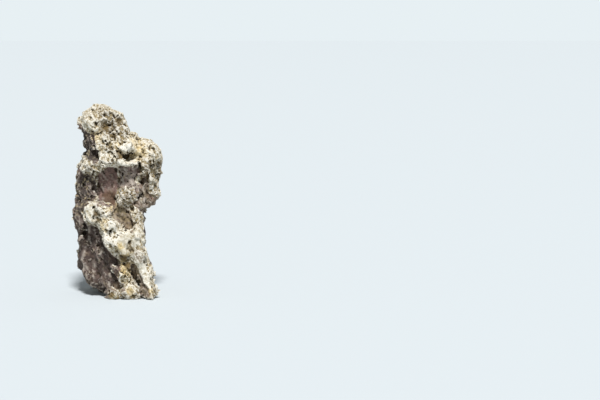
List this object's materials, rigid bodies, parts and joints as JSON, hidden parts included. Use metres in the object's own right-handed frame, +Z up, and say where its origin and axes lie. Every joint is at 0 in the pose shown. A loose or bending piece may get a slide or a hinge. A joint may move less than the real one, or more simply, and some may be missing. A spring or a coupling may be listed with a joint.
{
  "type": "seiryu stone",
  "caption": "Tall one-piece limestone aquascaping stone with a pitted pale crust, bare broken faces, a leaning crown, an overhanging column and a ragged foot that it stands on.",
  "frame": {"origin": "middle of the bounding box, at the level the foot stands on", "axes": "+Z up along the stone's height, -Y towards the side with the large broken face, +X towards the overhanging column"},
  "size_m": [0.1074, 0.0992, 0.2213],
  "materials": {
    "stone": "rough weathered limestone"
  },
  "bodies": {
    "root": {"stone": "stone"}
  },
  "joints": []
}
